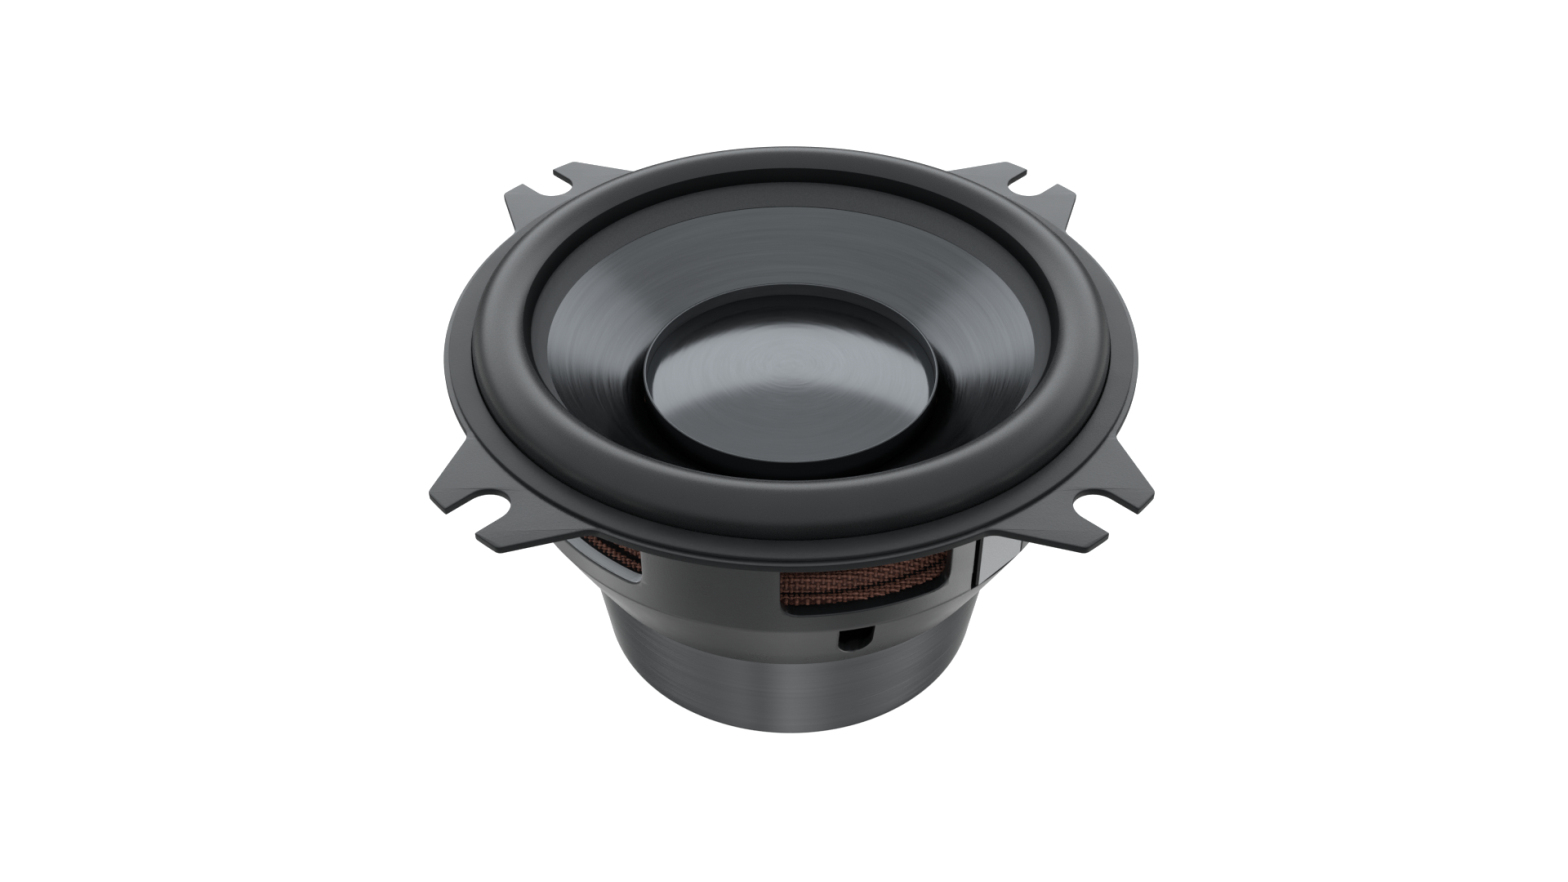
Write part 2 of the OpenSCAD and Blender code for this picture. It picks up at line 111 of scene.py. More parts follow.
def new_object(name, verts, faces, uvs=None):
    """A mesh object from points in millimetres. uvs holds one pair for each face corner."""
    mesh = bpy.data.meshes.new(name)
    mesh.from_pydata((np.asarray(verts, float) * MM).tolist(), [], [list(f) for f in faces])
    if uvs is not None:
        layer = mesh.uv_layers.new(name="UVMap")
        layer.data.foreach_set("uv", np.asarray(uvs, np.float32).ravel())
    obj = bpy.data.objects.new(name, mesh)
    bpy.context.scene.collection.objects.link(obj)
    return obj


def clean(obj, angle):
    """Merges doubles, turns the faces outwards and smooths edges flatter than the angle."""
    mesh = obj.data
    bm = bmesh.new()
    bm.from_mesh(mesh)
    bmesh.ops.remove_doubles(bm, verts=bm.verts, dist=1e-7)
    bmesh.ops.recalc_face_normals(bm, faces=bm.faces)
    bm.to_mesh(mesh)
    bm.free()
    mesh.shade_smooth()
    mesh.set_sharp_from_angle(angle=math.radians(angle))
    return obj


def lathe_parts(profile, segments, close=True):
    """Points and faces of a profile of (radius, height) turned about the axis."""
    profile = np.asarray(profile, float)
    count = len(profile)
    turns = np.arange(segments) * TAU / segments
    x = np.outer(np.cos(turns), profile[:, 0])
    y = np.outer(np.sin(turns), profile[:, 0])
    z = np.tile(profile[:, 1], (segments, 1))
    verts = np.stack([x, y, z], axis=2).reshape(-1, 3)
    faces = []
    for i in range(segments):
        j = (i + 1) % segments
        for k in range(count if close else count - 1):
            m = (k + 1) % count
            faces.append((i * count + k, j * count + k, j * count + m, i * count + m))
    return verts, faces


def lathe(name, profile, segments=256, angle=40):
    """A closed profile of (radius, height) turned into a solid."""
    verts, faces = lathe_parts(profile, segments)
    return clean(new_object(name, verts, faces), angle)


def join(name, *objects):
    """One object from several."""
    target = bmesh.new()
    for obj in objects:
        target.from_mesh(obj.data)
        bpy.data.objects.remove(obj)
    mesh = bpy.data.meshes.new(name)
    target.to_mesh(mesh)
    target.free()
    result = bpy.data.objects.new(name, mesh)
    bpy.context.scene.collection.objects.link(result)
    return result


def plate_mesh(name, loops, half, bevel):
    """A flat plate from closed outlines in millimetres, with bevelled edges. The first is the rim."""
    data = bpy.data.curves.new(name, "CURVE")
    data.dimensions = "2D"
    data.fill_mode = "BOTH"
    data.extrude = half - bevel
    data.bevel_depth = bevel
    data.bevel_resolution = 1
    data.offset = -bevel
    for loop in loops:
        spline = data.splines.new("POLY")
        spline.points.add(len(loop) - 1)
        for point, (x, y) in zip(spline.points, loop):
            point.co = (x, y, 0, 1)
        spline.use_cyclic_u = True
    curve = bpy.data.objects.new(name, data)
    bpy.context.scene.collection.objects.link(curve)
    graph = bpy.context.evaluated_depsgraph_get()
    mesh = bpy.data.meshes.new_from_object(curve.evaluated_get(graph))
    bpy.data.objects.remove(curve)
    return mesh


# ---------------------------------------------------------------- material helpers

NOISE_LOW = 0.3
NOISE_HIGH = 0.7


class Surface:
    """A material with one Principled shader, and short names for the nodes that feed it."""

    def __init__(self, name):
        self.material = bpy.data.materials.new(name)
        self.material.use_nodes = True
        self.tree = self.material.node_tree
        self.shader = self.tree.nodes["Principled BSDF"]
        self.place = self.add("ShaderNodeTexCoord").outputs["Object"]

    def add(self, kind, **settings):
        node = self.tree.nodes.new(kind)
        for key, value in settings.items():
            setattr(node, key, value)
        return node

    def put(self, socket, value):
        """Links a socket's source, or sets its number."""
        if isinstance(value, bpy.types.NodeSocket):
            self.tree.links.new(value, socket)
        elif value is not None:
            socket.default_value = value

    def set(self, **values):
        for key, value in values.items():
            self.put(self.shader.inputs[key.replace("_", " ")], value)

    def math(self, operation, a, b=None, c=None):
        node = self.add("ShaderNodeMath", operation=operation)
        for socket, value in zip(node.inputs, (a, b, c)):
            self.put(socket, value)
        return node.outputs[0]

    def mix(self, factor, a, b):
        node = self.add("ShaderNodeMix", data_type="RGBA")
        self.put(node.inputs["Factor"], factor)
        self.put(node.inputs["A"], a)
        self.put(node.inputs["B"], b)
        return node.outputs["Result"]

    def span(self, value, low, high, to_low, to_high):
        """A value from one range to another, held at the ends."""
        node = self.add("ShaderNodeMapRange")
        numbers = (value, low, high, to_low, to_high)
        for key, number in zip(("Value", "From Min", "From Max", "To Min", "To Max"), numbers):
            self.put(node.inputs[key], number)
        return node.outputs["Result"]

    def spread(self, noise, low=0.0, high=1.0):
        """Spreads the usual range of a noise over another range."""
        return self.span(noise, NOISE_LOW, NOISE_HIGH, low, high)

    def noise(self, scale, detail=2.0, rough=0.5, vector=None, w=None):
        node = self.add("ShaderNodeTexNoise")
        if w is not None:
            node.noise_dimensions = "4D"
            self.put(node.inputs["W"], w)
        self.put(node.inputs["Vector"], self.place if vector is None else vector)
        node.inputs["Scale"].default_value = scale
        node.inputs["Detail"].default_value = detail
        node.inputs["Roughness"].default_value = rough
        return node.outputs["Fac"]

    def bump(self, height, depth_mm, strength=1.0, below=None):
        node = self.add("ShaderNodeBump")
        node.inputs["Strength"].default_value = strength
        node.inputs["Distance"].default_value = depth_mm * MM
        self.put(node.inputs["Height"], height)
        self.put(node.inputs["Normal"], below)
        return node.outputs["Normal"]

    def parts(self, vector=None):
        node = self.add("ShaderNodeSeparateXYZ")
        self.put(node.inputs[0], self.place if vector is None else vector)
        return node.outputs

    def vector(self, x, y, z):
        node = self.add("ShaderNodeCombineXYZ")
        for socket, value in zip(node.inputs, (x, y, z)):
            self.put(socket, value)
        return node.outputs[0]

    def radius(self, x, y):
        """Distance from the axis."""
        squares = self.math("ADD", self.math("MULTIPLY", x, x), self.math("MULTIPLY", y, y))
        return self.math("SQRT", squares)

    def turned(self, across_mm, along_degrees, detail=2.0):
        """Noise drawn out round the axis, as a lathe leaves it: fine across, long along."""
        x, y, z = self.parts()[:3]
        radius = self.radius(x, y)
        fine = 1 / (across_mm * MM)
        long = 1 / math.radians(along_degrees)
        cosine = self.math("DIVIDE", x, radius)
        sine = self.math("DIVIDE", y, radius)
        spot = self.vector(
            self.math("MULTIPLY", radius, fine),
            self.math("MULTIPLY", z, fine),
            self.math("MULTIPLY", cosine, long),
        )
        return self.noise(1.0, detail, 0.6, spot, self.math("MULTIPLY", sine, long))

    def round_tangent(self):
        node = self.add("ShaderNodeTangent", direction_type="RADIAL", axis="Z")
        self.put(self.shader.inputs["Tangent"], node.outputs[0])


# Cool tint of the metals, the share of a turn that lays the gloss across the grooves, and how much
# weaker than white a metal gets at grazing angles
METAL_TINT = -0.035
ACROSS_GROOVES = 0.25
EDGE_TINT = (0.45, 0.45, 0.45, 1.0)


def grey(value, warm=0.0):
    """A grey, warmer above 0 and cooler below."""
    return (value * (1 + warm), value, value * (1 - warm), 1.0)


def coated(name, tone, rough, grain_mm=0.28, grain_depth_mm=0.012, ior=1.5, blotch_mm=9.0):
    """Satin powder coat: a fine pebble, soft cloudy variation in tone, and uneven gloss."""
    s = Surface(name)
    cloud = s.noise(1 / (blotch_mm * MM), 4.0, 0.6)
    pebble = s.noise(1 / (grain_mm * MM), 2.0, 0.55)
    fleck = s.noise(1 / (0.6 * grain_mm * MM), 1.0, 0.5)
    tint = s.math("ADD", s.math("MULTIPLY", cloud, 0.5), s.math("MULTIPLY", fleck, 0.5))
    shade = s.spread(tint)
    s.set(Base_Color=s.mix(shade, grey(tone * 0.75, -0.05), grey(tone * 1.3, -0.05)))
    s.set(Roughness=s.spread(cloud, rough - 0.04, rough + 0.04), IOR=ior)
    s.set(Normal=s.bump(pebble, grain_depth_mm))
    return s.material


def turned_metal(name, tone, rough, across_mm, depth_mm, anisotropy=0.5, along=14, contrast=0.12):
    """Spun or machined metal: fine and broad rings round the axis that also carry the gloss."""
    s = Surface(name)
    rings = s.turned(across_mm, along)
    broad = s.turned(across_mm * 5, along * 3, 1.0)
    shade = s.math("ADD", s.math("MULTIPLY", rings, 0.6), s.math("MULTIPLY", broad, 0.4))
    level = s.span(shade, 0.32, 0.68, 0.0, 1.0)
    dark = grey(tone * (1 - contrast), METAL_TINT)
    s.set(Base_Color=s.mix(level, dark, grey(tone * (1 + contrast), METAL_TINT)))
    spread = 0.3 * contrast
    s.set(Metallic=1.0, Roughness=s.spread(rings, rough - spread, rough + spread))
    s.set(Normal=s.bump(rings, depth_mm, 1.0, s.bump(broad, depth_mm * 4)))
    s.set(Anisotropic=anisotropy, Anisotropic_Rotation=ACROSS_GROOVES, Specular_Tint=EDGE_TINT)
    s.round_tangent()
    return s.material


def moulded(name, tone, rough, grain_mm=0.3, depth_mm=0.008, colour=None, ior=1.5):
    """Moulded rubber or plastic with a fine spark-eroded texture."""
    s = Surface(name)
    grain = s.noise(1 / (grain_mm * MM), 3.0, 0.6)
    cloud = s.noise(1 / (7 * MM), 3.0, 0.5)
    dark = colour or grey(tone, -0.05)
    light = tuple(1.3 * c for c in dark[:3]) + (1.0,)
    s.set(Base_Color=s.mix(s.spread(cloud), dark, light))
    s.set(Roughness=s.spread(grain, rough - 0.05, rough + 0.06), Normal=s.bump(grain, depth_mm))
    s.set(IOR=ior)
    return s.material


def roll_rubber():
    """Satin rubber roll. Its glued inner lip has lost the sheen."""
    s = Surface("surround_rubber")
    x, y = s.parts()[:2]
    lip = s.span(s.radius(x, y), LIP_FULL_R * MM, LIP_END_R * MM, 1.0, 0.0)
    grain = s.noise(1 / (0.25 * MM), 3.0, 0.6)
    cloud = s.spread(s.noise(1 / (7 * MM), 3.0, 0.5))
    sheen = s.mix(cloud, grey(0.008, -0.05), grey(0.011, -0.05))
    dull = s.mix(s.spread(grain), grey(0.035, -0.04), grey(0.06, -0.04))
    gloss = s.spread(grain, 0.24, 0.34)
    s.set(Base_Color=s.mix(lip, sheen, dull), Roughness=s.math("MULTIPLY_ADD", lip, 0.3, gloss))
    s.set(IOR=1.5, Normal=s.bump(grain, 0.006))
    return s.material


def block_painted_light():
    """Moulded block in dark plastic. Its flat face towards the block's azimuth is painted pale: painted
    light.
    """
    s = Surface("block_plastic")
    grain = s.noise(1 / (0.2 * MM), 3.0, 0.6)
    turn = math.radians(BLOCK_AZIMUTH)
    dot = s.add("ShaderNodeVectorMath", operation="DOT_PRODUCT")
    s.put(dot.inputs[0], s.add("ShaderNodeTexCoord").outputs["Normal"])
    dot.inputs[1].default_value = (math.sin(turn), -math.cos(turn), 0)
    # Pale colour on the outward face only, picked by its normal: painted light
    front = s.span(dot.outputs["Value"], 0.8, 0.95, 0.0, 1.0)
    pale = s.mix(s.spread(grain), grey(0.2, -0.03), grey(0.27, -0.03))
    s.set(Base_Color=s.mix(front, grey(0.003, 0.0), pale))
    s.set(Roughness=s.spread(grain, 0.28, 0.38), Normal=s.bump(grain, 0.01))
    return s.material


def window_edge_highlight():
    """Faces of the windows other than the front one: bare cut metal with fine cutter lines, whose bright
    colour is a painted highlight.
    """
    s = Surface("window_edge_highlight")
    lines = s.turned(0.25, 30)
    s.set(Base_Color=s.mix(s.spread(lines), grey(0.78, -0.02), grey(0.9, -0.02)))
    s.set(Metallic=0.5, Roughness=s.spread(lines, 0.26, 0.36), Normal=s.bump(lines, 0.002))
    return s.material


def plain_metal(name, colour, rough, grain_mm=0.15, depth_mm=0.004):
    """Plated or drawn metal with small random scratches and spots."""
    s = Surface(name)
    fine = s.noise(1 / (grain_mm * MM), 3.0, 0.65)
    spots = s.noise(1 / (2.5 * MM), 4.0, 0.6)
    dark = tuple(0.72 * c for c in colour) + (1.0,)
    s.set(Base_Color=s.mix(s.spread(spots), dark, tuple(colour) + (1.0,)))
    s.set(Metallic=1.0, Roughness=s.spread(fine, rough - 0.08, rough + 0.1))
    s.set(Normal=s.bump(fine, depth_mm))
    return s.material


def thread(name, dark, light, twist_per_mm, rough):
    """Twisted yarn. The first UV runs along the yarn in millimetres, the second picks its shade."""
    s = Surface(name)
    u, v = s.parts(s.add("ShaderNodeUVMap", uv_map="UVMap").outputs[0])[:2]
    turn = s.math("ADD", s.math("MULTIPLY", u, twist_per_mm), s.math("MULTIPLY", v, 3.0))
    ply = s.math("PINGPONG", turn, 0.5)
    shade = s.noise(1.0, 1.0, 0.5, s.vector(s.math("MULTIPLY", u, 0.15), s.math("FLOOR", v), 0.0))
    fuzz = s.noise(1 / (0.12 * MM), 3.0, 0.7)
    level = s.math("ADD", s.math("MULTIPLY", shade, 0.7), s.math("MULTIPLY", ply, 0.5))
    level = s.math("ADD", level, s.math("MULTIPLY", fuzz, 0.3))
    s.set(Base_Color=s.mix(s.span(level, 0.35, 1.0, 0.0, 1.0), dark + (1.0,), light + (1.0,)))
    s.set(Roughness=s.spread(fuzz, rough - 0.1, rough + 0.1))
    s.set(Normal=s.bump(fuzz, 0.02, 0.6, s.bump(ply, 0.03)))
    return s.material


# ---------------------------------------------------------------- camera, light and floor


# The tent's brightness by the sine of the height, and a soft panel behind the driver that fades from
# the back (1) to the front (0)
SKY_BASE = ((0.0, 0.25), (0.12, 0.5), (0.3, 0.85), (0.8, 0.9), (1.0, 1.0))
PANEL_BY_HEIGHT = ((0.14, 0.0), (0.3, 1.0), (0.675, 1.0), (0.7, 0.0))
PANEL_BY_DEPTH = ((0.45, 0.0), (0.55, 0.08), (0.75, 0.55), (0.88, 0.9), (0.93, 1.0))
PANEL_STRENGTH = 2.1
SKY_COOL = 0.035
# Below the horizon, which only gloss sees: from left (0) to right (1), from front (0) to back (1),
# and from straight down (0) to the horizon (1)
LOW_BY_SIDE = (
    (0.0, 2.2), (0.12, 2.2), (0.16, 1.4), (0.2, 0.48), (0.3, 0.4), (0.37, 0.6), (0.42, 0.44),
    (0.45, 0.65),
    (0.5, 1.0), (0.56, 0.75), (0.63, 0.44), (0.7, 0.4), (0.79, 0.65), (0.84, 1.6), (0.88, 2.2),
)
LOW_BY_DEPTH = (
    (0.0, 0.7), (0.17, 0.75), (0.24, 1.15), (0.26, 1.1), (0.31, 1.75), (0.42, 1.6), (0.5, 1.3),
    (0.55, 0.75),
    (0.65, 0.85), (0.73, 1.3), (0.79, 1.5), (0.86, 1.7), (1.0, 1.0),
)
LOW_BY_HEIGHT = (
    (0.0, 0.55), (0.1, 0.8), (0.16, 1.15), (0.28, 1.35), (0.355, 0.85), (0.4, 0.85), (0.5, 0.4),
    (0.8, 0.2), (1.0, 0.2),
)
FLOOR_GLOW = 0.95
# What the camera sees behind the floor, by the sine of the height
BACKDROP = ((0.0, 0.9), (0.5, 0.8))


# The camera's lens, place and downward tilt, fitted to the photograph
LENS_MM = 36.79
SENSOR_MM = 36.0
CAMERA_X = -1.055
CAMERA_Y = -199.76
CAMERA_OVER_FRONT = 144.45
CAMERA_TURN = 49.87
FLOOR_TOP_Z = -0.05
FLOOR_RADII = (0, 600, 1500, 3000)


def place_camera():
    """Looks down at the driver from in front, at the photograph's angle and distance."""
    data = bpy.data.cameras.new("camera")
    data.lens = LENS_MM
    data.sensor_width = SENSOR_MM
    data.clip_start = 0.01
    data.clip_end = 20
    camera = bpy.data.objects.new("camera", data)
    camera.location = (CAMERA_X * MM, CAMERA_Y * MM, (FRONT_Z + CAMERA_OVER_FRONT) * MM)
    camera.rotation_euler = (math.radians(CAMERA_TURN), 0, 0)
    bpy.context.scene.collection.objects.link(camera)
    bpy.context.scene.camera = camera


def light_world():
    """A pale tent with a brighter panel behind the driver, and a darker lower half for gloss."""
    world = bpy.data.worlds.new("studio")
    world.use_nodes = True
    bpy.context.scene.world = world
    tree = world.node_tree

    def ramp(source, stops, strength=1.0, cool=0.0):
        """Brightness at each stop. cool shifts it from red towards blue."""
        node = tree.nodes.new("ShaderNodeValToRGB")
        tree.links.new(source, node.inputs["Fac"])
        while len(node.color_ramp.elements) < len(stops):
            node.color_ramp.elements.new(0.5)
        for element, (where, value) in zip(node.color_ramp.elements, stops):
            element.position = where
            level = value * strength
            element.color = (level * (1 - cool), level, level * (1 + cool), 1.0)
        return node.outputs["Color"]

    def combine(kind, a, b):
        node = tree.nodes.new("ShaderNodeMix")
        node.data_type = "RGBA"
        node.blend_type = kind
        node.inputs["Factor"].default_value = 1.0
        tree.links.new(a, node.inputs["A"])
        tree.links.new(b, node.inputs["B"])
        return node.outputs["Result"]

    def remap(source, low, high):
        node = tree.nodes.new("ShaderNodeMapRange")
        tree.links.new(source, node.inputs["Value"])
        node.inputs["From Min"].default_value = low
        node.inputs["From Max"].default_value = high
        return node.outputs["Result"]

    direction = tree.nodes.new("ShaderNodeTexCoord")
    axes = tree.nodes.new("ShaderNodeSeparateXYZ")
    tree.links.new(direction.outputs["Generated"], axes.inputs[0])
    side = remap(axes.outputs["X"], -1.0, 1.0)
    depth = remap(axes.outputs["Y"], -1.0, 1.0)
    height = axes.outputs["Z"]
    panel = ramp(height, PANEL_BY_HEIGHT, PANEL_STRENGTH, SKY_COOL)
    panel = combine("MULTIPLY", panel, ramp(depth, PANEL_BY_DEPTH))
    above = combine("ADD", ramp(height, SKY_BASE, 1.0, SKY_COOL), panel)
    below = combine("MULTIPLY", ramp(side, LOW_BY_SIDE), ramp(depth, LOW_BY_DEPTH))
    near_horizon = remap(height, -1.0, 0.0)
    below = combine("MULTIPLY", below, ramp(near_horizon, LOW_BY_HEIGHT))
    sky = combine("MIX", below, above)
    tree.links.new(remap(height, -0.06, 0.02), sky.node.inputs["Factor"])
    seen = combine("MIX", sky, ramp(height, BACKDROP))
    path = tree.nodes.new("ShaderNodeLightPath")
    tree.links.new(path.outputs["Is Camera Ray"], seen.node.inputs["Factor"])
    tree.links.new(seen, tree.nodes["Background"].inputs["Color"])


def lay_floor():
    """Pale glowing floor. Gloss looks past it, at the lower half of the tent."""
    verts, faces = lathe_parts([(r, FLOOR_TOP_Z) for r in FLOOR_RADII], 96, close=False)
    floor = clean(new_object("floor", verts, faces), 30)
    floor.visible_glossy = False
    s = Surface("floor")
    cloud = s.noise(12.0, 3.0)
    s.set(Base_Color=s.mix(cloud, (0.3, 0.3, 0.3, 1), (0.33, 0.33, 0.33, 1)), Roughness=0.9)
    s.set(Emission_Color=(1.0, 1.0, 1.0, 1.0), Emission_Strength=FLOOR_GLOW)
    floor.data.materials.append(s.material)


place_camera()
light_world()
lay_floor()
scene = bpy.context.scene
scene.view_settings.view_transform = "Standard"

# ---------------------------------------------------------------- basket

WALL_R = 43.85
WALL_IN_R = 41.9
FLANGE_R = 52.7
TAB_END_R = 62.5
SLOT_U = 58.0
SLOT_R = 3.25
RECESS_R = 51.3
PLATE_HIGH_Z = FRONT_Z - 0.6
PLATE_LOW_Z = FRONT_Z - 1.8
CREASE_Z = 36.9
FLOOR_R = 35.75
SEAM_AZIMUTH = 104.5
WINDOW_AZIMUTH = 14.5
VENT_AZIMUTH = 12.4
# A vent's round end is a circle from below, and so is drawn out along the band's slope
VENT_STRETCH = 2.04
VENT_HALF_W = 2.6
VENT_LOW_Z = 25.3
VENT_TOP_DROP = 0.45
VENT_COUNT = 3
CUP_LIP_H = 1.1
WINDOW_HALF_W = 12.45
WINDOW_COUNT = 6
WINDOW_TOP_Z = 55.0
WINDOW_CORNER_R = 3.0
SILL_Z = 40.4
# The sills fall outwards by this much, except under the front window
SILL_DRAFT = 0.5
FRONT_REACH = 28
WINDOW_REACH = 18
# The windows' part of the wall is above this height
WINDOW_ZONE_Z = 39.0
BLOCK_AZIMUTH = 45.0
# The pocket that the terminal block stands in: a wide gap on its left, a hairline on its right
POCKET_LEFT = 6.2
POCKET_RIGHT = 5.18
POCKET_LOW_Z = 36.55
# The shell is cut out flat at this half thickness, and then bent onto its stations
FLAT_HALF_T = 1.4
FLAT_BEVEL = 0.3
COLUMNS = 240


def tab_side():
    """From the fillet at the tab's root, along its flank, to its rounded corner. Tab axis along x."""
    side_a = 62.3
    side_c = 35.7
    fillet_r = 3.0
    corner_r = 1.2
    fillet_a = side_a - math.degrees(math.acos((side_c + fillet_r) / (FLANGE_R + fillet_r)))
    corner_a = side_a - math.degrees(math.acos((side_c - corner_r) / (TAB_END_R - corner_r)))
    fillet = arc(polar(FLANGE_R + fillet_r, fillet_a), fillet_r, fillet_a + 180, side_a + 180, 10)
    corner = arc(polar(TAB_END_R - corner_r, corner_a), corner_r, side_a, corner_a, 8)
    return fillet + corner, fillet_a, corner_a


def tab_outline():
    """One tab along x, anticlockwise, with a slot that opens at its end."""
    side, root_a, corner_a = tab_side()
    slot_round = 0.35
    slot_a = math.degrees(math.asin((SLOT_R + slot_round) / TAB_END_R))
    mouth_u = math.sqrt(TAB_END_R**2 - SLOT_R**2) - slot_round
    half = side + arc((0, 0), TAB_END_R, corner_a, slot_a, 4)[1:]
    half += [(mouth_u + 0.75 * slot_round, SLOT_R + 0.12 * slot_round), (mouth_u, SLOT_R)]
    slot = arc((SLOT_U, 0), SLOT_R, 270, 90, 24)
    return [(x, -y) for x, y in half] + slot + list(reversed(half)), root_a


def flange_outline():
    """Round flange with four tabs."""
    tab, root_a = tab_outline()
    points = []
    for k in range(4):
        turn = math.radians(-45 + 90 * k)
        for x, y in tab:
            turned_x = x * math.cos(turn) - y * math.sin(turn)
            turned_y = x * math.sin(turn) + y * math.cos(turn)
            points.append((turned_x, turned_y))
        points += arc((0, 0), FLANGE_R, -45 + 90 * k + root_a, 45 + 90 * k - root_a, 60)[1:-1]
    return points


def basket_stations():
    """Outer and inner point of the shell, from the flange down to the hole in the floor."""
    top = FRONT_Z - 1.3
    low = PLATE_LOW_Z
    floor_z = CUP_TOP_Z
    return [
        ((45.0, top), (42.2, top)),
        ((45.0, low), (41.9, low)),
        ((44.5, low - 0.15), (41.8, low - 0.3)),
        ((44.12, low - 0.45), (WALL_IN_R, low - 0.6)),
        ((43.91, low - 0.85), (WALL_IN_R, low - 0.9)),
        ((WALL_R, low - 1.4), (WALL_IN_R, low - 1.4)),
        ((WALL_R, 41.4), (WALL_IN_R, 41.4)),
        ((WALL_R, 40.25), (WALL_IN_R, 40.25)),
        ((WALL_R, 40.15), (38.5, 40.15)),
        ((WALL_R, 37.35), (38.5, 38.6)),
        ((43.82, 36.95), (41.6, 38.5)),
        ((43.72, 36.6), (41.9, 36.6)),
        ((43.45, 36.1), (41.75, 36.1)),
        ((41.08, 31.4), (39.3, 31.4)),
        ((38.27, 26.0), (36.5, 26.0)),
        ((35.95, 21.75), (34.3, 25.3)),
        ((FLOOR_R, floor_z - CUP_LIP_H), (33.9, 25.1)),
        ((35.1, floor_z - CUP_LIP_H), (33.5, 25.05)),
        ((35.05, floor_z), (33.0, 25.0)),
        ((27.0, floor_z), (27.0, 25.0)),
    ]


def at_front_window(azimuth):
    """Whether an azimuth is within the front window or the edges beside it."""
    return abs((azimuth - WINDOW_AZIMUTH + 180) % 360 - 180) < FRONT_REACH


def shell_loops(stations, lengths):
    """The shell's outline and openings, laid out flat: x is the arc at the wall, y runs down."""
    heights = [outer[1] for outer, inner in stations]

    def down(z):
        return -float(np.interp(-z, [-h for h in heights[:-1]], lengths[:-1]))

    def across(azimuth):
        return math.radians((azimuth - SEAM_AZIMUTH) % 360 - 360) * WALL_R

    spare = 3.0
    left = -TAU * WALL_R - spare
    bottom = -lengths[-1]
    loops = [[(left, bottom), (spare, bottom), (spare, 0), (left, 0)]]
    half_a = math.degrees(math.asin(WINDOW_HALF_W / WALL_R))
    half = math.radians(half_a) * WALL_R
    for k in range(WINDOW_COUNT):
        middle = across(WINDOW_AZIMUTH + 360 / WINDOW_COUNT * k)
        low, high = down(SILL_Z), down(WINDOW_TOP_Z)
        left, right = middle - half, middle + half
        corners = [(left, low), (right, low), (right, high), (left, high)]
        loops.append(soften(corners, WINDOW_CORNER_R, 10))
    for k in range(VENT_COUNT):
        middle = across(VENT_AZIMUTH + 360 / VENT_COUNT * k)
        top, low = down(CREASE_Z - VENT_TOP_DROP), down(VENT_LOW_Z)
        r = VENT_HALF_W
        round_y = low + r * VENT_STRETCH
        half_circle = arc((middle, round_y), r, 180, 360, 20)
        bowl = [(x, round_y + (y - round_y) * VENT_STRETCH) for x, y in half_circle]
        loops.append(bowl + [(middle + r, top), (middle - r, top)])
    middle = across(BLOCK_AZIMUTH)
    left, right = middle - POCKET_LEFT, middle + POCKET_RIGHT
    low, high = down(POCKET_LOW_Z), down(PLATE_LOW_Z - 0.25)
    loops.append(soften([(left, low), (right, low), (right, high), (left, high)], 0.3, 3))
    return loops


def square_on(local, r):
    """Turn that keeps an opening's sides parallel through the wall, instead of radial."""
    ratio = WALL_R * math.sin(math.radians(local)) / r
    return math.degrees(math.asin(max(-1.0, min(1.0, ratio)))) - local


